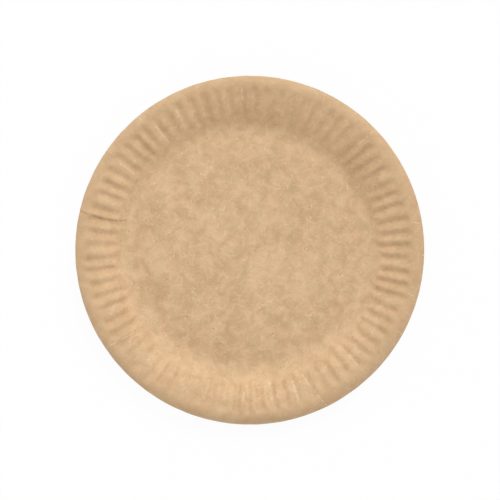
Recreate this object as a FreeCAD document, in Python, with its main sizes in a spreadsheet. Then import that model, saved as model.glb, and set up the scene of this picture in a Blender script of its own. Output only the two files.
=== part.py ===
import FreeCAD, Part
import math
import os
import Sketcher
from FreeCAD import Placement, Rotation, Vector

# Paper plate, pressed from one sheet of board, in millimetres and degrees.
# The origin is the middle of the plate on the surface that it stands on, with Z up.
# One flute's share of the plate is modelled, and is then repeated about Z.
NODE = "plate"

SIZES = {
    "plate_diameter": 180,
    "sheet_thickness": 0.5,
    "foot_inset": 30.4,
    "foot_width": 2.5,
    "crown_width": 14.35,
    "floor_rise": 1.5,
    "floor_lap": 1,
    "base_bend": 9,
    "wall_angle": 43,
    "shoulder_angle": 20.5,
    "shoulder_width": 7.6,
    "lip_bend": 5.2,
    "lip_angle": 62,
    "flute_count": 75,
    "flute_depth": 1.2,
    "flute_flat": 0.167,
    "flute_fade": 3.6,
    "flute_margin": 0.8,
    "flute_lap": 0.1,
    "trim_spare": 1,
}

# Places that follow from the sizes, on the upper face of the sheet and in the middle
# plane of a flute. A name in _r is a distance from Z, and a name in _z is a height.
LAYOUT = {
    "half_pitch": "180 / Sizes.flute_count",
    "rim_r": "Sizes.plate_diameter / 2 * cos(half_pitch)",
    "foot_r": "Sizes.plate_diameter / 2 - Sizes.foot_inset",
    "foot_inner_r": "foot_r - Sizes.foot_width / 2",
    "foot_outer_r": "foot_r + Sizes.foot_width / 2",
    "floor_r": "foot_inner_r - Sizes.crown_width",
    "floor_z": "Sizes.sheet_thickness + Sizes.floor_rise",
    "floor_disc_r": "floor_r - Sizes.floor_lap / 2",
    "crown_angle": "2 * atan(Sizes.floor_rise / Sizes.crown_width) / 1deg",
    "crown_bend": "Sizes.crown_width / sin(crown_angle) - Sizes.base_bend",
    "base_z": "Sizes.sheet_thickness + Sizes.base_bend",
    "wall_foot_r": "foot_outer_r + Sizes.base_bend * sin(Sizes.wall_angle)",
    "wall_foot_z": "base_z - Sizes.base_bend * cos(Sizes.wall_angle)",
    "lip_r": "rim_r - Sizes.lip_bend * sin(Sizes.lip_angle)",
    "crest_r": "lip_r - Sizes.lip_bend * sin(Sizes.shoulder_angle)",
    "knee_r": "crest_r - Sizes.shoulder_width",
    "knee_z": "wall_foot_z + (knee_r - wall_foot_r) * tan(Sizes.wall_angle)",
    "knee_angle": "(Sizes.wall_angle + Sizes.shoulder_angle) / 2",
    "knee_stretch": "1 / cos((Sizes.wall_angle - Sizes.shoulder_angle) / 2)",
    "crest_z": "knee_z + Sizes.shoulder_width * tan(Sizes.shoulder_angle)",
    "lip_z": "crest_z - Sizes.lip_bend * cos(Sizes.shoulder_angle)",
    "strip_width": "2 * (rim_r * tan(half_pitch) + Sizes.trim_spare)",
    "trim_inner_r": "-Sizes.trim_spare",
    "trim_outer_r": "rim_r + Sizes.trim_spare",
    "trim_pitch_half": "trim_outer_r * tan(half_pitch)",
    "trim_half": "strip_width / 2 + Sizes.trim_spare",
    "axis_r": "0",
}


# The section's corners as distance and height, from the floor out to the cut edge,
# on the face that lies a depth under the upper one
def section_corners(depth):
    crown = f"(crown_bend - {depth})"
    base = f"(Sizes.base_bend + {depth})"
    knee = f"{depth} * knee_stretch"
    lip = f"(Sizes.lip_bend - {depth})"
    return [
        ("floor_r - Sizes.floor_lap", f"floor_z - {depth}"),
        ("floor_r", f"floor_z - {depth}"),
        (f"floor_r + {crown} * sin(crown_angle)",
         f"floor_z - crown_bend + {crown} * cos(crown_angle)"),
        ("foot_inner_r", f"Sizes.sheet_thickness - {depth}"),
        ("foot_outer_r", f"Sizes.sheet_thickness - {depth}"),
        (f"foot_outer_r + {base} * sin(Sizes.wall_angle)",
         f"base_z - {base} * cos(Sizes.wall_angle)"),
        (f"knee_r + {knee} * sin(knee_angle)", f"knee_z - {knee} * cos(knee_angle)"),
        (f"lip_r - {lip} * sin(Sizes.shoulder_angle)",
         f"lip_z + {lip} * cos(Sizes.shoulder_angle)"),
        (f"lip_r + {lip} * sin(Sizes.lip_angle)", f"lip_z + {lip} * cos(Sizes.lip_angle)"),
    ]


# The bends of the section: the corner that each starts from, its radius on the upper
# face, and 1 where it is hollow from above or -1 where it is round from above
BENDS = {
    1: ("crown_bend", -1),
    2: ("Sizes.base_bend", 1),
    4: ("Sizes.base_bend", 1),
    7: ("Sizes.lip_bend", -1),
}
CORNERS = len(section_corners("0"))

for face, depth in (("upper", "0"), ("lower", "Sizes.sheet_thickness")):
    for number, (radius, height) in enumerate(section_corners(depth)):
        LAYOUT[f"{face}_r_{number}"] = radius
        LAYOUT[f"{face}_z_{number}"] = height
    for number, (radius, hollow) in BENDS.items():
        LAYOUT[f"{face}_bend_{number}"] = f"{radius} + {hollow} * {depth}"

# A flute is a trough with sloping sides, pressed one depth into the sheet. It runs both
# ways from the knee, up the wall and over the shoulder, and fades out at each end.
LAYOUT.update({
    "trough_half": "knee_r * tan(half_pitch * Sizes.flute_flat)",
    "brow_half": "knee_r * tan(half_pitch * (1 - Sizes.flute_flat))",
    "top_half": "brow_half + (brow_half - trough_half) * Sizes.flute_lap / Sizes.flute_depth",
    "fade_full": "Sizes.flute_margin + Sizes.flute_fade",
    "fade_end": "Sizes.flute_margin - Sizes.flute_fade * Sizes.flute_lap / Sizes.flute_depth",
    "wall_tilt": "Sizes.wall_angle",
    "wall_run": "(knee_r - wall_foot_r) / cos(Sizes.wall_angle)",
    "shoulder_tilt": "Sizes.shoulder_angle",
    "shoulder_run": "Sizes.shoulder_width / cos(Sizes.shoulder_angle)",
    "wall_low": "fade_full - wall_run",
    "wall_top": "fade_end - wall_run",
    "shoulder_low": "shoulder_run - fade_full",
    "shoulder_top": "shoulder_run - fade_end",
    "knee_lap": "Sizes.flute_lap",
    "ridge_low": "-Sizes.sheet_thickness - Sizes.flute_depth",
    "ridge_top": "-Sizes.sheet_thickness + Sizes.flute_lap",
    "groove_low": "-Sizes.flute_depth",
    "groove_top": "Sizes.flute_lap",
})

# The legs of a flute: the ends of each along its length, at its depth and at its top
LEGS = {
    "wall": (("wall_low", "knee_lap"), ("wall_top", "knee_lap")),
    "shoulder": (("-knee_lap", "shoulder_low"), ("-knee_lap", "shoulder_top")),
}


# A sheet of named cells, which the features take their numbers from
def named_cells(doc, name, rows, prefix=""):
    sheet = doc.addObject("Spreadsheet::Sheet", name)
    for row, (alias, content) in enumerate(rows.items(), start=1):
        sheet.set(f"A{row}", alias)
        sheet.set(f"B{row}", f"{prefix}{content}")
        sheet.setAlias(f"B{row}", alias)
    doc.recompute()
    return sheet


# The present number of a named place, where a minus before the name turns its sign
def value(name):
    sign = -1 if name.startswith("-") else 1
    return sign * float(layout.get(name.lstrip("-")))


def cell(name):
    return f"-Layout.{name[1:]}" if name.startswith("-") else f"Layout.{name}"


def origin_item(body, role):
    return next(item for item in body.Origin.OriginFeatures if item.Role == role)


def attach(feature, body, role, offset):
    feature.AttachmentSupport = [(origin_item(body, role), "")]
    feature.MapMode = "FlatFace"
    feature.AttachmentOffset = offset


def bind(sketch, kind, references, name):
    number = sketch.addConstraint(Sketcher.Constraint(kind, *references, value(name)))
    sketch.setExpression(f"Constraints[{number}]", cell(name))


# A closed outline through named corners. A bend is an arc of a named radius from its
# corner to the next, which turns left along the outline, or right where its side is -1.
def outline(sketch, corners, bends):
    points = [Vector(value(across), value(up), 0) for across, up in corners]
    for number, start in enumerate(points):
        end = points[(number + 1) % len(points)]
        if number in bends:
            radius, side = bends[number]
            half = (end - start) / 2
            reach = (value(radius) ** 2 - half.Length ** 2) ** 0.5
            left = Vector(-half.y, half.x, 0).normalize()
            centre = start + half + left * reach * side
            first, last = (start, end) if side > 0 else (end, start)
            turns = [math.atan2(point.y - centre.y, point.x - centre.x)
                     for point in (first, last)]
            circle = Part.Circle(centre, Vector(0, 0, 1), value(radius))
            sketch.addGeometry(Part.ArcOfCircle(circle, *turns), False)
        else:
            sketch.addGeometry(Part.LineSegment(start, end), False)
    ends = [(2, 1) if bends.get(number, ("", 1))[1] < 0 else (1, 2)
            for number in range(len(points))]
    for number, (across, up) in enumerate(corners):
        before = (number - 1) % len(corners)
        first, last = ends[number][0], ends[before][1]
        sketch.addConstraint(Sketcher.Constraint("Coincident", before, last, number, first))
        bind(sketch, "DistanceX", (-1, 1, number, first), across)
        bind(sketch, "DistanceY", (-1, 1, number, first), up)
    for number, (radius, side) in bends.items():
        bind(sketch, "Radius", (number,), radius)


# A strip of the folded sheet, straight across the middle plane of a flute
def add_strip(body):
    last = 2 * CORNERS - 1
    corners = [(f"upper_r_{number}", f"upper_z_{number}") for number in range(CORNERS)]
    corners += [(f"lower_r_{number}", f"lower_z_{number}")
                for number in reversed(range(CORNERS))]
    bends = {}
    for number, (radius, hollow) in BENDS.items():
        bends[number] = (f"upper_bend_{number}", hollow)
        bends[last - 1 - number] = (f"lower_bend_{number}", -hollow)
    sketch = body.newObject("Sketcher::SketchObject", "section")
    attach(sketch, body, "XZ_Plane", Placement())
    outline(sketch, corners, bends)
    strip = body.newObject("PartDesign::Pad", "strip")
    strip.Profile = sketch
    strip.SideType = "Symmetric"
    strip.setExpression("Length", "Layout.strip_width")
    strip.Refine = False


# The strip is trimmed to one pitch, between two planes through Z
def trim_strip(body):
    sketch = body.newObject("Sketcher::SketchObject", "trim_outline")
    attach(sketch, body, "XY_Plane", Placement())
    outline(sketch, [("axis_r", "axis_r"), ("trim_outer_r", "trim_pitch_half"),
                     ("trim_outer_r", "trim_half"), ("trim_inner_r", "trim_half"),
                     ("trim_inner_r", "-trim_half"), ("trim_outer_r", "-trim_half"),
                     ("trim_outer_r", "-trim_pitch_half")], {})
    trim = body.newObject("PartDesign::Pocket", "trim")
    trim.Profile = sketch
    trim.SideType = "Symmetric"
    trim.Type = "ThroughAll"
    trim.Refine = False


# One leg of a flute, as a block that narrows downwards and lies along the wall or the
# shoulder. Its length runs along X from the knee, its depth along Y, its width along Z.
def add_leg(body, kind, tool, leg, ends):
    block = body.newObject(kind, f"{tool}_{leg}")
    place = Vector(value("knee_r"), value("knee_z"), 0)
    turn = Rotation(Vector(0, 0, 1), value(f"{leg}_tilt"))
    attach(block, body, "XZ_Plane", Placement(place, turn))
    low, top = ends
    sizes = {
        "Xmin": low[0], "Xmax": low[1], "X2min": top[0], "X2max": top[1],
        "Ymin": f"{tool}_low", "Ymax": f"{tool}_top",
        "Zmin": "-trough_half", "Zmax": "trough_half",
        "Z2min": "-top_half", "Z2max": "top_half",
    }
    for name, place in sizes.items():
        setattr(block, name, value(place))
        block.setExpression(name, cell(place))
    block.setExpression("AttachmentOffset.Base.x", "Layout.knee_r")
    block.setExpression("AttachmentOffset.Base.y", "Layout.knee_z")
    block.setExpression("AttachmentOffset.Rotation.Angle", f"Layout.{leg}_tilt")
    block.Refine = False


# The ridge under each trough is added first, and the groove is then cut from above
def add_flute(body):
    for tool, kind in (("ridge", "PartDesign::AdditiveWedge"),
                       ("groove", "PartDesign::SubtractiveWedge")):
        for leg, ends in LEGS.items():
            add_leg(body, kind, tool, leg, ends)


# The trimmed and fluted strip is repeated about Z, once for each flute
def add_ring(body):
    ring = body.newObject("PartDesign::PolarPattern", "ring")
    ring.TransformMode = "Whole shape"
    ring.Axis = (origin_item(body, "Z_Axis"), [""])
    ring.Angle = 360
    ring.setExpression("Occurrences", "Sizes.flute_count")
    ring.Refine = False
    body.Tip = ring


# The flat middle is a disc that laps the ring on its own two faces
def add_floor(body):
    sketch = body.newObject("Sketcher::SketchObject", "floor_outline")
    attach(sketch, body, "XY_Plane", Placement(Vector(0, 0, value("lower_z_0")), Rotation()))
    sketch.setExpression("AttachmentOffset.Base.z", "Layout.lower_z_0")
    sketch.addGeometry(Part.Circle(Vector(), Vector(0, 0, 1), value("floor_disc_r")), False)
    sketch.addConstraint(Sketcher.Constraint("Coincident", 0, 3, -1, 1))
    bind(sketch, "Radius", (0,), "floor_disc_r")
    pad = body.newObject("PartDesign::Pad", "floor")
    pad.Profile = sketch
    pad.setExpression("Length", "Sizes.sheet_thickness")
    pad.Refine = True


doc = FreeCAD.newDocument("paper_plate")
named_cells(doc, "Sizes", SIZES)
layout = named_cells(doc, "Layout", LAYOUT, "=")

body = doc.addObject("PartDesign::Body", NODE)
body.Label = NODE
add_strip(body)
trim_strip(body)
add_flute(body)
doc.recompute()
add_ring(body)
doc.recompute()
add_floor(body)
doc.recompute()

for item in doc.Objects:
    faults = [state for state in item.State if state in ("Invalid", "Error")]
    if faults:
        raise RuntimeError(f"{item.Label} is {', '.join(faults)}: {item.getStatusString()}")
shape = body.Shape
if shape.isNull() or not shape.isValid() or len(shape.Solids) != 1:
    raise RuntimeError(f"{NODE} is not one sound solid")

os.makedirs("parts", exist_ok=True)
shape.exportStep(f"parts/{NODE}.step")
print(f"{NODE}: {len(shape.Faces)} faces, {shape.Volume:.0f} mm3, {shape.BoundBox}")
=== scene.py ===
# %% [markdown]
# # A fluted paper plate of brown kraft board
# A paper plate starts as a flat, round blank of board. A warm die presses it once: the
# middle stays level, the wall stands up, and the rim turns over into a small lip. A flat
# disc has more board round its edge than the pressed plate needs, and that board gathers
# into short radial flutes. This lesson draws the plate's section once, spins it round,
# presses the flutes in one by one, and then gives the board its own colour and grain.
# Every length is in metres, in the frame of the solid model that is loaded first.

# %% Load the frame
import math
import random

import bmesh
import bpy
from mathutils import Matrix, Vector, noise


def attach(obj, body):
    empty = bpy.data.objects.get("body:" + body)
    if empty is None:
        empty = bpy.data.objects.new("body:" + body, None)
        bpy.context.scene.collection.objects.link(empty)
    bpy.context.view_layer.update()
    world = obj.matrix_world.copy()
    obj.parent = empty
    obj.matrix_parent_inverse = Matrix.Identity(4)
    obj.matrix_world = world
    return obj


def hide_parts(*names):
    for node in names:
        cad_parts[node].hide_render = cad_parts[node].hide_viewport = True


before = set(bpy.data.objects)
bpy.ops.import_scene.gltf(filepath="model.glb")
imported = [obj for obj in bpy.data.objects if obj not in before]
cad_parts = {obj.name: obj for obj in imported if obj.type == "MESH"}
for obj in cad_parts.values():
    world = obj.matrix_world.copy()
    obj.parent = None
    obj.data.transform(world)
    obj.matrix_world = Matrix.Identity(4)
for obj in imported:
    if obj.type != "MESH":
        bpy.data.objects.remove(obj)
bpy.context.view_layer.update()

MM = 0.001

# %% [markdown]
# ## The section
# Seen in section, the plate is one line of even thickness: a level floor, a slight crown
# down to the foot ring that the plate stands on, a hollow bend, a straight wall, a long
# shoulder and a tight lip. It could be a table of points, but then no number in it would
# mean anything. Here a pen draws it instead. A straight run extrudes the last vertex, and
# a bend spins it about the centre of the arc, so the sizes are those that a die is cut by.

# %% Make a pen that draws the section
FLOOR_HEIGHT = 2.1 * MM


def straight(mesh, pen, length, heading, steps):
    """Draws a straight run from the pen and returns its last vertex."""
    stride = Vector((math.cos(heading), 0, math.sin(heading))) * length / steps
    for _ in range(steps):
        made = bmesh.ops.extrude_vert_indiv(mesh, verts=[pen])["verts"]
        bmesh.ops.translate(mesh, verts=made, vec=stride)
        pen = made[0]
    return pen


def bend(mesh, pen, radius, heading, turn, steps):
    """Draws an arc from the pen, to the left for a positive turn, and returns its end."""
    side = math.copysign(1, turn)
    centre = pen.co + Vector((-math.sin(heading), 0, math.cos(heading))) * radius * side
    made = bmesh.ops.spin(mesh, geom=[pen], cent=centre, axis=(0, -1, 0), angle=turn,
                          steps=steps)["geom_last"]
    return next(item for item in made if isinstance(item, bmesh.types.BMVert))


plate_mesh = bmesh.new()
pen = plate_mesh.verts.new((0, 0, FLOOR_HEIGHT))
print(f"the pen starts in the middle of the floor, {pen.co.z / MM:.1f} mm up")

# %% [markdown]
# ## The runs and bends of the die
# The line that is drawn is the upper face of the board. It could start at the rim, but
# from the middle outwards each place follows from the sizes before it. Each run says how
# many steps it takes: few on the floor, which stays plain, and one to every millimetre
# or less on the wall and the lip, where the flutes and the turned edge need them. Where
# the shoulder ends, the centre of the lip's arc is kept for later.

# %% Draw the section on the upper face of the board
FLOOR_RADIUS = 44.15 * MM
CROWN_BEND = 70.37 * MM
CROWN_ANGLE = math.radians(11.5)
BASE_BEND = 9.4 * MM
WALL_ANGLE = math.radians(43)
WALL_LENGTH = 6.84 * MM
KNEE_BEND = 22.35 * MM
SHOULDER_ANGLE = math.radians(20)
SHOULDER_LENGTH = 4.30 * MM
LIP_BEND = 5.0 * MM
LIP_ANGLE = math.radians(50)
LIP_LENGTH = 1.98 * MM

pen = straight(plate_mesh, pen, FLOOR_RADIUS, 0, steps=4)
pen = bend(plate_mesh, pen, CROWN_BEND, 0, -CROWN_ANGLE, steps=4)
pen = bend(plate_mesh, pen, BASE_BEND, -CROWN_ANGLE, CROWN_ANGLE + WALL_ANGLE, steps=10)
pen = straight(plate_mesh, pen, WALL_LENGTH, WALL_ANGLE, steps=7)
pen = bend(plate_mesh, pen, KNEE_BEND, WALL_ANGLE, SHOULDER_ANGLE - WALL_ANGLE, steps=9)
pen = straight(plate_mesh, pen, SHOULDER_LENGTH, SHOULDER_ANGLE, steps=5)
LIP_RADIUS = pen.co.x
LIP_CENTRE = pen.co + Vector((math.sin(SHOULDER_ANGLE), 0,
                              -math.cos(SHOULDER_ANGLE))) * LIP_BEND
pen = bend(plate_mesh, pen, LIP_BEND, SHOULDER_ANGLE, -SHOULDER_ANGLE - LIP_ANGLE,
           steps=8)
pen = straight(plate_mesh, pen, LIP_LENGTH, -LIP_ANGLE, steps=2)
RIM_RADIUS = pen.co.x
print(f"the section ends {RIM_RADIUS / MM:.2f} mm out and {pen.co.z / MM:.2f} mm up")

# %% [markdown]
# ## The plain dish
# The die is a turned shape, so the board is too before its flutes. One full spin of the
# section makes it. Each flute is given twelve columns of faces, which is what a smooth
# wave needs, and the columns close on themselves because the spin merges its ends. The
# floor's first vertex turns on the spot, so its copies are merged too.

# %% Spin the section into a dish
FLUTES = 75
COLUMNS_PER_FLUTE = 12

bmesh.ops.spin(plate_mesh, geom=plate_mesh.verts[:] + plate_mesh.edges[:],
               cent=(0, 0, 0), axis=(0, 0, 1), angle=2 * math.pi,
               steps=FLUTES * COLUMNS_PER_FLUTE, use_merge=True)
bmesh.ops.remove_doubles(plate_mesh, verts=plate_mesh.verts[:], dist=0.001 * MM)
bmesh.ops.recalc_face_normals(plate_mesh, faces=plate_mesh.faces[:])
if sum(face.normal.z for face in plate_mesh.faces) < 0:
    bmesh.ops.reverse_faces(plate_mesh, faces=plate_mesh.faces[:])
plate_mesh.normal_update()
print(f"the dish has {len(plate_mesh.verts)} vertices, {len(plate_mesh.faces)} faces")

# %% [markdown]
# ## The lip and the pleat's column
# The blank never lies quite in the middle of the die. The pressed dish then sits a
# little to one side of the round cut edge, so the lip turns down further on one side
# than on the other. Scaling the whole dish would move the edge too. Instead each vertex
# of the lip slides along the lip's own curve, until the last row is round about the
# blank's centre. One fold has also closed on itself, and the columns of faces near it
# are turned a little, so that two of them run along the fold and can take a sharp step.

# %% Slide the lip along its curve and turn the columns to the pleat
DIE_CENTRE = Vector((-0.65 * MM, 0.75 * MM, 0))
PLEAT = [(66, 165.9), (70, 167.6), (77, 168.0), (81, 167.6), (85, 167.5), (90, 166.8)]
PLEAT_COLUMN = math.radians(167.8)
PLEAT_SWEEP = math.radians(6)


def pleat_angle(radius):
    """Follows the pleat's line, whose points are a radius in mm and an angle."""
    for (low, first), (high, last) in zip(PLEAT, PLEAT[1:]):
        if radius < high * MM:
            break
    part = min(max((radius / MM - low) / (high - low), 0), 1)
    return math.radians(first + (last - first) * part)


def slide_lip(radius, angle):
    """Gives the radius and height of a vertex of the lip, for an off-centre blank."""
    shift = DIE_CENTRE.x * math.cos(angle) + DIE_CENTRE.y * math.sin(angle)
    stretch = (RIM_RADIUS - shift - LIP_RADIUS) / (RIM_RADIUS - LIP_RADIUS)
    radius = LIP_RADIUS + (radius - LIP_RADIUS) * stretch
    reach = min((radius - LIP_CENTRE.x) / LIP_BEND, math.sin(LIP_ANGLE))
    height = LIP_CENTRE.z + LIP_BEND * math.sqrt(1 - reach ** 2)
    beyond = radius - LIP_CENTRE.x - LIP_BEND * reach
    return radius, height - beyond * math.tan(LIP_ANGLE)


for vert in plate_mesh.verts:
    radius, height = math.hypot(vert.co.x, vert.co.y), vert.co.z
    angle = math.atan2(vert.co.y, vert.co.x)
    if radius > LIP_RADIUS:
        radius, height = slide_lip(radius, angle)
    near = 1 - min(abs(angle - PLEAT_COLUMN) / PLEAT_SWEEP, 1)
    angle += near * (pleat_angle(radius) - PLEAT_COLUMN)
    vert.co = Vector((radius * math.cos(angle), radius * math.sin(angle), height))
bmesh.ops.translate(plate_mesh, verts=plate_mesh.verts[:], vec=DIE_CENTRE)
plate_mesh.normal_update()
print(f"the crest is {(LIP_CENTRE.z + LIP_BEND) / MM:.2f} mm up")

# %% [markdown]
# ## The numbers of the flutes
# The flutes are the board that the smaller rim has no room for. They start low on the
# wall, run over the shoulder and die out where the lip turns over, and no two are the
# same: the blank lies a little off centre in the die, and each fold takes up what its
# neighbours leave. Copies of one modelled flute would look machined. So every flute
# draws its own depth, place, start and end. A part of each swings slowly round the ring,
# as the die presses harder on one side, and a part is left to chance.

# %% Draw the numbers of every flute
RING_CENTRE = Vector((-0.9 * MM, 0.35 * MM, 0))
FLUTE_PHASE = math.radians(1.26)
FLUTE_LIFT = 0.55 * MM
EVEN_LIFT = 1.07
DEEP_SIDE = math.radians(12)
DEEP_LIFT = 0.2
CRUSHED_SIDE = math.radians(277)
CRUSHED_LIFT = 0.9
CRUSHED_WIDTH = 1 / 6
LIFT_SPREAD = 0.17
LIFT_RADIUS = 76 * MM
LIFT_GROWTH = 1.3
GROWING_SIDE = math.radians(120)
SHIFT_SPREAD = 0.11
START_RADIUS = 69.2 * MM
START_SPREAD = 1.6 * MM
START_FADE = 4.8 * MM
SOFT_SIDE = math.radians(160)
SOFT_FADE = 1.7 * MM
END_RADIUS = 84.8 * MM
END_SPREAD = 0.9 * MM
END_FADE = 3.8 * MM

chance = random.Random(75)


def stray(spread):
    """Draws a number that is as likely below zero as above."""
    return chance.uniform(-spread, spread)


flutes = []
for number in range(FLUTES):
    angle = FLUTE_PHASE + 2 * math.pi * number / FLUTES
    crushed = math.exp(-((angle - CRUSHED_SIDE) / CRUSHED_WIDTH) ** 2)
    flutes.append({
        "lift": FLUTE_LIFT * (EVEN_LIFT + DEEP_LIFT * math.cos(2 * (angle - DEEP_SIDE))
                              + CRUSHED_LIFT * crushed + stray(LIFT_SPREAD)),
        "growth": LIFT_GROWTH * (1 + math.cos(angle - GROWING_SIDE)),
        "shift": stray(SHIFT_SPREAD),
        "start": START_RADIUS + stray(START_SPREAD),
        "fade": START_FADE + SOFT_FADE * math.cos(angle - SOFT_SIDE),
        "end": END_RADIUS + stray(END_SPREAD),
    })
print("lifts in mm:", [round(flute["lift"] / MM, 2) for flute in flutes[:8]])

# %% [markdown]
# ## Pressing the flutes
# A flute is a wave in the board, so each vertex is lifted along its own normal by a
# cosine that turns once for each flute. It fades in on the smooth wall and out on the
# turn of the lip. The lift could be a Displace modifier with an image, but the flutes
# differ, and a function can blend the numbers of the two nearest flutes wherever a vertex
# lies.

# %% Press the flutes into the dish
def ease(value, low, high):
    """Runs smoothly from 0 at low to 1 at high."""
    part = min(max((value - low) / (high - low), 0), 1)
    return part * part * (3 - 2 * part)


def flute_numbers(turns):
    """Blends the numbers of the two flutes on each side of a place on the ring."""
    first = math.floor(turns)
    blend = ease(turns - first, 0, 1)
    near, far = flutes[first % FLUTES], flutes[(first + 1) % FLUTES]
    return {name: near[name] * (1 - blend) + far[name] * blend for name in near}


def flute_lift(place):
    """Says how far the board is pressed up or down at a place."""
    arm = place - RING_CENTRE
    radius = math.hypot(arm.x, arm.y)
    turns = (math.atan2(arm.y, arm.x) - FLUTE_PHASE) / (2 * math.pi) * FLUTES % FLUTES
    flute = flute_numbers(turns)
    half = flute["fade"] / 2
    fade = ease(radius, flute["start"] - half, flute["start"] + half)
    fade *= 1 - ease(radius, flute["end"] - END_FADE, flute["end"])
    fade *= (radius / LIFT_RADIUS) ** flute["growth"]
    return -flute["lift"] * fade * math.cos(2 * math.pi * (turns + flute["shift"]))


lifts = [(vert, vert.normal * flute_lift(vert.co)) for vert in plate_mesh.verts]
for vert, lift in lifts:
    vert.co += lift
print(f"deepest lift {max(lift.length for _, lift in lifts) / MM:.2f} mm")

# %% [markdown]
# ## The pleat, the warp and the dents
# One fold has closed on itself and pressed flat, from the wall right out to the cut
# edge, the lip is never quite level once the board has cooled, and shallow dents run
# through the flutes where the damp board crept in the die. All three are moves of
# vertices that are already there. They are worked out from one state of the mesh and
# made together, so that none of them bends the normals that the next one follows.

# %% Fold the pleat, warp the rim and dent the board
PLEAT_REACH = 2.6 * MM
PLEAT_STEP = 0.2 * MM
PLEAT_FROM, PLEAT_FULL = 66 * MM, 70 * MM
WARP_WAVES = [(2, 0.12, 0.7), (5, 0.06, 2.1)]
WARP_DROP = 0.15
WARP_FROM = 62 * MM
DENT_SIZE = 5.5 * MM
DENT_LIFT = 0.12 * MM
DENT_FROM, DENT_FULL = 62 * MM, 70 * MM


def warp(angle):
    """Gives the warp in mm, from waves of a count, a height in mm and a start."""
    return sum(height * math.sin(count * angle + start)
               for count, height, start in WARP_WAVES) - WARP_DROP


plate_mesh.normal_update()
moves = []
for vert in plate_mesh.verts:
    arm = vert.co - DIE_CENTRE
    radius = math.hypot(arm.x, arm.y)
    angle = math.atan2(arm.y, arm.x)
    move = Vector((0, 0, warp(angle) * ease(radius, WARP_FROM, RIM_RADIUS) * MM))
    dent = noise.noise(vert.co / DENT_SIZE) * DENT_LIFT
    move += vert.normal * dent * ease(radius, DENT_FROM, DENT_FULL)
    if radius > PLEAT_FROM:
        across = (angle - pleat_angle(radius)) * radius
        if abs(across) < PLEAT_REACH:
            side = -1 if across > 0 else 1
            swell = side * (1 - abs(across) / PLEAT_REACH) ** 2
            move += vert.normal * swell * PLEAT_STEP * ease(radius, PLEAT_FROM, PLEAT_FULL)
    moves.append((vert, move))
for vert, move in moves:
    vert.co += move
print(f"the longest move is {max(move.length for _, move in moves) / MM:.2f} mm")

# %% [markdown]
# ## The thickness
# Board is the same thickness wherever it goes, so the drawn face is all that has to be
# modelled. The underside could be a second spin, but then each flute would have to be
# pressed twice. A Solidify modifier adds it, downwards from that face, and gives the cut
# edge a material of its own. A fine Bevel takes the sharpness off the edge.

# %% Make the piece and give it its thickness
BOARD = 0.5 * MM
EDGE_BEVEL = 0.08 * MM

mesh_data = bpy.data.meshes.new("kraft_plate")
plate_mesh.to_mesh(mesh_data)
plate_mesh.free()
plate = bpy.data.objects.new("kraft_plate", mesh_data)
bpy.context.scene.collection.objects.link(plate)
for face in mesh_data.polygons:
    face.use_smooth = True

thicken = plate.modifiers.new("board", "SOLIDIFY")
thicken.thickness = BOARD
thicken.offset = -1
thicken.use_even_offset = True
thicken.material_offset_rim = 1
soften = plate.modifiers.new("cut edge", "BEVEL")
soften.width = EDGE_BEVEL
soften.segments = 1
soften.limit_method = "ANGLE"
soften.angle_limit = math.radians(60)

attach(plate, "root")
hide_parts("plate")
print(f"{plate.name}: {len(mesh_data.polygons)} faces under",
      [modifier.name for modifier in plate.modifiers])

# %% [markdown]
# ## Sums on sockets
# A pattern is arithmetic on what a texture gives. Adding each Math node by hand hides
# the sum, so a small class wraps a socket and lets Python's own operators add the nodes.
# Every other node comes from one method, which sets the node up before it is connected.

# %% Make a socket that can be used in sums
class Wire:
    """One output of a node tree."""

    def __init__(self, tree, socket=None):
        self.tree = tree
        self.socket = socket

    def add(self, kind, settings=None, sockets=None, output=0):
        """Adds a node, with its settings first and then its sockets, and wraps it."""
        node = self.tree.nodes.new(f"ShaderNode{kind}")
        for name, setting in (settings or {}).items():
            setattr(node, name, setting)
        for name, given in (sockets or {}).items():
            if isinstance(given, Wire):
                self.tree.links.new(given.socket, node.inputs[name])
            else:
                node.inputs[name].default_value = given
        return Wire(self.tree, node.outputs[output])

    def maths(self, operation, *terms):
        """Adds a Math node on sockets and numbers."""
        return self.add("Math", {"operation": operation}, dict(enumerate(terms)))

    def __add__(self, other):
        return self.maths("ADD", self, other)

    def __sub__(self, other):
        return self.maths("SUBTRACT", self, other)

    def __rsub__(self, other):
        return self.maths("SUBTRACT", other, self)

    def __mul__(self, other):
        return self.maths("MULTIPLY", self, other)

    def __abs__(self):
        return self.maths("ABSOLUTE", self)

    __radd__ = __add__
    __rmul__ = __mul__

    def span(self, low, high):
        """Runs smoothly from 0 where this value is low to 1 where it is high."""
        return self.add("MapRange", {"interpolation_type": "SMOOTHSTEP"},
                        {"Value": self, "From Min": low, "From Max": high})

    def blend(self, factor, colour):
        """Mixes this colour towards another by a factor."""
        return self.add("Mix", {"data_type": "RGBA"}, {0: factor, 6: self, 7: colour}, 2)


print("a wire knows:", [name for name, part in vars(Wire).items() if callable(part)])

# %% [markdown]
# ## Kraft board
# Kraft board is unbleached wood pulp. Close up it isn't one brown: the fibres settle in
# clouds a few millimetres wide, single long fibres lie across them in every direction,
# and there are bran-like specks. One noise can't hold all of these, so each is its own
# noise at its own size, and the same noises raise a faint tooth and change the dull
# sheen. A noise's scale says how many of its cells fit in a metre, so 200 makes clouds
# about 5 mm wide. A fibre is a cell that a Mapping node has drawn out and turned.

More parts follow.
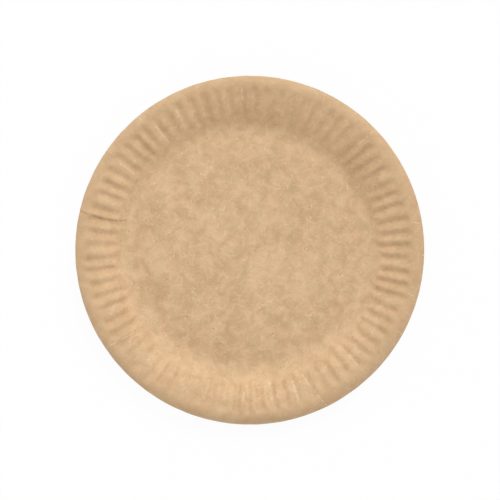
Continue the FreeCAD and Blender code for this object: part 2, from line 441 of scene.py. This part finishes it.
# %% Mix the board's colour
BOARD_DARK = (0.49, 0.305, 0.156, 1)
BOARD_PALE = (0.82, 0.585, 0.36, 1)
BOARD_WARM = (0.70, 0.43, 0.235, 1)
BOARD_COOL = (0.60, 0.445, 0.235, 1)
BARE_FIBRE = (0.93, 0.74, 0.52, 1)
BRAN_SPECK = (0.36, 0.21, 0.10, 1)
CLOUD_SCALE, DRIFT_SCALE, GRAIN_SCALE, WARMTH_SCALE = 200, 50, 1100, 120
FIBRE_LAY = (12, 48, 85, 133, 163)
FIBRE_SIZE = (4.2 * MM, 0.6 * MM, 4.2 * MM)
SPECKS = ((430, 0.58, BRAN_SPECK), (420, 0.60, BARE_FIBRE))


def kraft_colour(place, base):
    """Gives the colour of kraft board and its height, from a place on it."""
    clouds = place.add("TexNoise", sockets={"Vector": place, "Scale": CLOUD_SCALE,
                                            "Detail": 3, "Roughness": 0.6,
                                            "Distortion": 0.5})
    drift = place.add("TexNoise", sockets={"Vector": place, "Scale": DRIFT_SCALE,
                                           "Detail": 2})
    grain = place.add("TexNoise", sockets={"Vector": place, "Scale": GRAIN_SCALE,
                                           "Detail": 1})
    warmth = place.add("TexNoise", sockets={"Vector": place, "Scale": WARMTH_SCALE,
                                            "Detail": 2})
    tone = (clouds - 0.5) * 2.0 + (drift - 0.5) * 0.95 + (grain - 0.5) * 0.35
    colour = place.add("Mix", {"data_type": "RGBA"},
                       {0: tone.span(-0.7, 0.7), 6: BOARD_DARK, 7: BOARD_PALE}, 2)
    colour = colour.blend(0.38, base)
    colour = colour.blend(0.18 - warmth.span(0.4, 0.55) * 0.18, BOARD_COOL)
    colour = colour.blend(warmth.span(0.45, 0.62) * 0.18, BOARD_WARM)
    height = tone
    for number, turn in enumerate(FIBRE_LAY):
        laid = place.add("Mapping", {"vector_type": "TEXTURE"}, {
            "Vector": place, "Location": (number, number, 0),
            "Scale": FIBRE_SIZE, "Rotation": (0, 0, math.radians(turn))})
        fibre = place.add("TexNoise", sockets={"Vector": laid, "Scale": 1, "Detail": 1,
                                               "Distortion": 0.8}).span(0.64, 0.74)
        colour = colour.blend(fibre * 0.22, BARE_FIBRE)
        height = height + fibre * 0.5
    for scale, least, shade in SPECKS:
        dots = place.add("TexVoronoi", sockets={"Vector": place, "Scale": scale})
        picked = place.add("TexNoise", sockets={"Vector": place, "Scale": scale * 0.7})
        speck = (1 - dots.span(0.12, 0.27)) * picked.span(least, least + 0.04)
        colour = colour.blend(speck * 0.42, shade)
    return colour, height


print(f"fibres lie {len(FIBRE_LAY)} ways, {FIBRE_SIZE[0] / FIBRE_SIZE[1]:.0f} times",
      "as long as wide")

# %% [markdown]
# ## Painted light on the wall and painted shade on the rim
# The wall is painted a shade paler than the floor. This is painted light that lifts it
# where the lamps leave it darker. The rim is painted a shade darker towards the cut edge.
# This is painted shade, as if the light fell off there. Both are rings, so the distance
# from the middle of the plate is all that they need. Painting them on a map would do the
# same with more work.

# %% Paint light on the wall and shade on the rim
PAINTED_RIM_SHADE = (0.58, 0.38, 0.21, 1)
PAINTED_WALL_LIGHT_RISE, PAINTED_WALL_LIGHT_FADE = (50 * MM, 66 * MM), (70 * MM, 84 * MM)
PAINTED_RIM_SHADE_SPAN = (74 * MM, 85 * MM)


def paint_wall_light_and_rim_shade(place, colour):
    """Paints light on the wall and shade on the rim, in rings round the middle."""
    reach = place.add("VectorMath", {"operation": "LENGTH"}, {0: place}, "Value")
    # Painted light on the wall: a band that is mixed towards pale board.
    wall = reach.span(*PAINTED_WALL_LIGHT_RISE) * (1 - reach.span(*PAINTED_WALL_LIGHT_FADE))
    colour = colour.blend(wall * 0.14, BOARD_PALE)
    # Painted shade on the rim: mixed towards a darker brown further out.
    return colour.blend(reach.span(*PAINTED_RIM_SHADE_SPAN) * 0.4, PAINTED_RIM_SHADE)


print(f"the wall is palest {PAINTED_WALL_LIGHT_RISE[1] / MM:.0f} to {PAINTED_WALL_LIGHT_FADE[0] / MM:.0f} mm out")

# %% [markdown]
# ## Creases and the pleat's painted shadow
# Where the board was forced over the rim, its surface has split into hairlines, most of
# them on the lip, and a few flutes are pinched to a ridge whose fibres stand bare. Along
# the closed pleat a thin line of painted shadow is drawn: the shadow that the fold's edge
# casts, painted into the colour. All are thinner than a face of the mesh, so they are
# drawn in the material. A Mapping node turned to each line gives the distance along it
# and across it, and the line is where the second is small. It could also be an image,
# but a line with a place and a length stays sharp at any size. Each line below is its
# outer end and its inner end, both as a radius in mm and an angle in degrees.

# %% List the creases
PALE_CREASES = [
    (89.6, 214.0, 69.5, 215.8), (89.7, 296.4, 79.2, 294.5), (86.4, 313.2, 70.0, 313.3),
    (89.8, 8.8, 83.8, 10.0), (87.2, 6.4, 84.0, 6.7), (89.8, 358.4, 86.5, 358.5),
    (87.5, 344.3, 84.0, 344.8), (89.5, 331.0, 85.0, 331.4), (89.5, 44.0, 78.5, 44.3),
    (89.8, 129.7, 85.0, 130.0), (89.8, 144.8, 84.5, 144.9), (89.6, 64.2, 85.8, 64.0),
]
RIDGES = [
    (81, 146.1, 71, 146.4), (81, 127.1, 70.5, 127), (77.8, 267.2, 70.6, 268.2),
    (76.3, 293.5, 69.3, 292.8), (81.6, 288, 70.4, 287.9), (78.5, 278.2, 68, 278.3),
    (83, 117.6, 77.5, 117.8), (84, 92.9, 77.5, 92.8),
]
# Painted shadow: the line that the closed pleat's fold casts, in lengths.
PLEAT_SHADOW_LINES = [
    (89.9, 166.8, 85, 167.5), (85, 167.5, 81, 167.6), (81, 167.6, 77, 168.0),
    (77, 168.0, 70, 167.6), (70, 167.6, 66, 165.9),
]
print(f"{len(PALE_CREASES)} hairlines, {len(RIDGES)} ridges,",
      f"{len(PLEAT_SHADOW_LINES)} lengths of the pleat")

# %% [markdown]
# ## Drawing a crease
# A crease is 1 along its line and 0 away from it, so creases of one kind can be added up
# and used as one mask. Fibres bridge a real split here and there, which a fine noise
# copies by breaking the line.

# %% Draw the creases
CREASE_WIDTH = 0.3 * MM
GAP_SCALE = 700
FOLD_SHADOW = (0.26, 0.155, 0.08, 1)


def polar(radius, angle):
    """Places a point on the plate from a radius in mm and an angle in degrees."""
    angle = math.radians(angle)
    return Vector((math.cos(angle), math.sin(angle), 0)) * radius * MM


def crease(place, ends, width):
    """Gives 1 on the line from the outer end to the inner end, and 0 away from it."""
    outer, inner = polar(*ends[:2]), polar(*ends[2:])
    run = inner - outer
    local = place.add("Mapping", {"vector_type": "TEXTURE"}, {
        "Vector": place, "Location": outer, "Scale": (run.length, width, 1),
        "Rotation": (0, 0, math.atan2(run.y, run.x))})
    dot = {"operation": "DOT_PRODUCT"}
    along = local.add("VectorMath", dot, {0: local, 1: (1, 0, 0)}, "Value")
    across = local.add("VectorMath", dot, {0: local, 1: (0, 1, 0)}, "Value")
    within = 1 - abs(along * 2 - 1).span(0.8, 1.05)
    return (1 - abs(across).span(0.2, 1)) * within


def creases(place, lines, width, bridged):
    """Adds up the creases of one kind, broken here and there as fibres bridge them."""
    total = crease(place, lines[0], width)
    for ends in lines[1:]:
        total = total + crease(place, ends, width)
    gaps = place.add("TexNoise", sockets={"Vector": place, "Scale": GAP_SCALE,
                                          "Detail": 1})
    return total * gaps.span(bridged, bridged + 0.14)


def crease_board_and_paint_pleat_shadow(place, colour, height):
    """Draws the creases in the board's colour and height, and paints the pleat's shadow.
    """
    pale = creases(place, PALE_CREASES, CREASE_WIDTH, 0.42)
    ridge = creases(place, RIDGES, 3 * CREASE_WIDTH, 0.34)
    pleat_shadow = creases(place, PLEAT_SHADOW_LINES, CREASE_WIDTH, 0.36)
    # The pleat's line is painted shadow, mixed towards a near-black brown.
    colour = colour.blend(pale * 0.62, BARE_FIBRE).blend(pleat_shadow * 0.62, FOLD_SHADOW)
    colour = colour.blend(ridge * 0.32, BARE_FIBRE)
    return colour, height + pale * 2 - pleat_shadow * 1.5 + ridge * 4


print(f"a hairline is {2 * CREASE_WIDTH / MM:.1f} mm wide at most")

# %% [markdown]
# ## The two finishes of the board
# The pressed faces and the cut edge are the same pulp, but the edge shows cut fibre: it
# is darker and duller, and no crease, painted light or painted shade is drawn on it. One
# function makes both materials.
# Board has no varnish, so its highlight is weak, and the tooth that the noises raise is
# a few hundredths of a millimetre high, which is a matter for bump and not for the mesh.

# %% Make the two materials of the board
BOARD_BROWN = (0.65, 0.428, 0.238, 1)
EDGE_BROWN = (0.57, 0.37, 0.20, 1)
BOARD_GLOSS = 0.25
TOOTH_HEIGHT = 0.05 * MM


def kraft_board(name, base, roughness, creased):
    """Makes the material of the board's faces or of its cut edge."""
    material = bpy.data.materials.new(name)
    material.use_nodes = True
    tree = material.node_tree
    shader = tree.nodes["Principled BSDF"]
    shader.inputs["Specular IOR Level"].default_value = BOARD_GLOSS
    place = Wire(tree).add("TexCoord", output="Object")
    colour, height = kraft_colour(place, base)
    # Only the pressed faces get the creases, the pleat's painted shadow and the painted
    # light and shade of the rings.
    if creased:
        colour = paint_wall_light_and_rim_shade(place, colour)
        colour, height = crease_board_and_paint_pleat_shadow(place, colour, height)
    bump = colour.add("Bump", sockets={"Height": height, "Strength": 0.25,
                                       "Distance": TOOTH_HEIGHT}, output="Normal")
    for socket, wire in (("Base Color", colour), ("Normal", bump),
                         ("Roughness", roughness + height * 0.04)):
        tree.links.new(wire.socket, shader.inputs[socket])
    print(f"{name}: {len(tree.nodes)} nodes")
    return material


plate.data.materials.append(kraft_board("kraft_board", BOARD_BROWN, 0.72, True))
plate.data.materials.append(kraft_board("cut_board", EDGE_BROWN, 0.85, False))

# %% [markdown]
# ## The camera
# The plate is seen from straight above, as on a page of a catalogue. A long lens keeps
# the wall from leaning. An orthographic camera would too, but a real one sees the rim a
# little larger than the floor. The camera is hung at the height from which the frame is
# as wide as it should be at the level of the cut edge.

# %% Place the camera
FRAME_WIDTH = 257.25 * MM
RIM_HEIGHT = 11.6 * MM
AIM_X, AIM_Y = 0.01 * MM, 0.21 * MM

lens = bpy.data.cameras.new("camera")
lens.lens = 85
lens.sensor_width = 36
camera = bpy.data.objects.new("camera", lens)
camera.location = (AIM_X, AIM_Y, RIM_HEIGHT + FRAME_WIDTH * lens.lens / lens.sensor_width)
bpy.context.scene.collection.objects.link(camera)
bpy.context.scene.camera = camera
bpy.context.scene.view_settings.view_transform = "Standard"
print(f"the camera is {camera.location.z:.3f} m up")

# %% [markdown]
# ## The lamps
# Shallow flutes show only where light comes from one side, so a wide, soft key light
# from the far side shades them, and a panel overhead keeps the shades light. All the
# light is shared out so that a level white floor renders as 1 and board as its own
# colour, which takes light that adds up to pi on the floor. A sun's energy counts face
# on, so it is divided by the sine of its height, and a panel's grows with the cube of
# its distance. One panel alone could do it, but a sun lights the whole plate evenly.

# %% Hang the lamps
KEY_AZIMUTH = math.radians(66)
KEY_HEIGHT = math.radians(46)
KEY_SPREAD = math.radians(20)
KEY_SHARE = 0.27
TOP_PLACE = Vector((-0.18, 0.18, 0.62))
TOP_SIZE = 0.4
TOP_SHARE = 0.14


def hang(name, kind, place):
    """Hangs a lamp at a place, turned towards the plate."""
    lamp = bpy.data.lights.new(name, kind)
    holder = bpy.data.objects.new(name, lamp)
    holder.location = place
    holder.rotation_euler = place.to_track_quat("Z", "Y").to_euler()
    bpy.context.scene.collection.objects.link(holder)
    return lamp


towards = Vector((math.cos(KEY_AZIMUTH) * math.cos(KEY_HEIGHT),
                  math.sin(KEY_AZIMUTH) * math.cos(KEY_HEIGHT), math.sin(KEY_HEIGHT)))
key = hang("key", "SUN", towards)
key.angle = KEY_SPREAD
key.energy = KEY_SHARE * math.pi / towards.z
top = hang("top", "AREA", TOP_PLACE)
top.size = TOP_SIZE
top.energy = TOP_SHARE * math.pi ** 2 * TOP_PLACE.length ** 3 / TOP_PLACE.z
print(f"key {key.energy:.2f} W per square metre, top {top.energy:.2f} W")

# %% [markdown]
# ## The sky
# The rest of the light comes from all round. Part of it is an even sky, and part is a
# studio tent that is brightest at the horizon and fades evenly to nothing overhead,
# which lights the wall more than the floor. Such a tent gives a level floor a third of
# what an even sky would, so its share is taken three times. The camera sees plain white.

# %% Set the sky
TENT_SHARE = 0.28
TENT_GAIN = 3
SKY_SHARE = 1 - KEY_SHARE - TOP_SHARE - TENT_SHARE

world = bpy.data.worlds.new("studio")
world.use_nodes = True
bpy.context.scene.world = world
sky = world.node_tree.nodes["Background"]
start = Wire(world.node_tree)
seen = start.add("LightPath", output="Is Camera Ray")
way = start.add("TexCoord", output="Generated")
low = 1 - abs(way.add("SeparateXYZ", sockets={"Vector": way}, output="Z"))
level = low * TENT_GAIN * TENT_SHARE + SKY_SHARE
level = level + seen * (1 - level)
world.node_tree.links.new(level.socket, sky.inputs["Strength"])
sky.inputs["Color"].default_value = (1, 1, 1, 1)
print(f"the even sky's share is {SKY_SHARE:.2f}")

# %% [markdown]
# ## The floor
# The plate lies on white paper. More light would bleach the plate with it, so what the
# camera sees of the paper is nearly all a plain white glow, and a small part is real
# paper, which keeps the plate's shadow. The plate itself is lit by the real paper alone.

# %% Lay the floor
FLOOR_REACH = 1.5
FLOOR_WHITE = (0.94, 0.94, 0.94, 1)
GLOW = 0.95

floor_mesh = bmesh.new()
bmesh.ops.create_circle(floor_mesh, cap_ends=True, segments=64, radius=FLOOR_REACH)
floor_data = bpy.data.meshes.new("floor")
floor_mesh.to_mesh(floor_data)
floor_mesh.free()
floor = bpy.data.objects.new("floor", floor_data)
bpy.context.scene.collection.objects.link(floor)
paper = bpy.data.materials.new("floor_white")
paper.use_nodes = True
tree = paper.node_tree
matt = tree.nodes["Principled BSDF"]
matt.inputs["Base Color"].default_value = FLOOR_WHITE
matt.inputs["Roughness"].default_value = 1
matt.inputs["Specular IOR Level"].default_value = 0
start = Wire(tree)
ray = start.add("LightPath", output="Is Camera Ray")
glow = start.add("Emission", sockets={"Color": (1, 1, 1, 1), "Strength": 1})
mixed = start.add("MixShader", sockets={0: ray * GLOW, 1: Wire(tree, matt.outputs[0]),
                                        2: glow})
tree.links.new(mixed.socket, tree.nodes["Material Output"].inputs["Surface"])
floor.data.materials.append(paper)
print(f"the floor reaches {FLOOR_REACH} m all round")

# %% [markdown]
# ## The sizes
# The scene only dresses the solid model, so it may not outgrow it. The plate's
# has to lie inside the solid's.
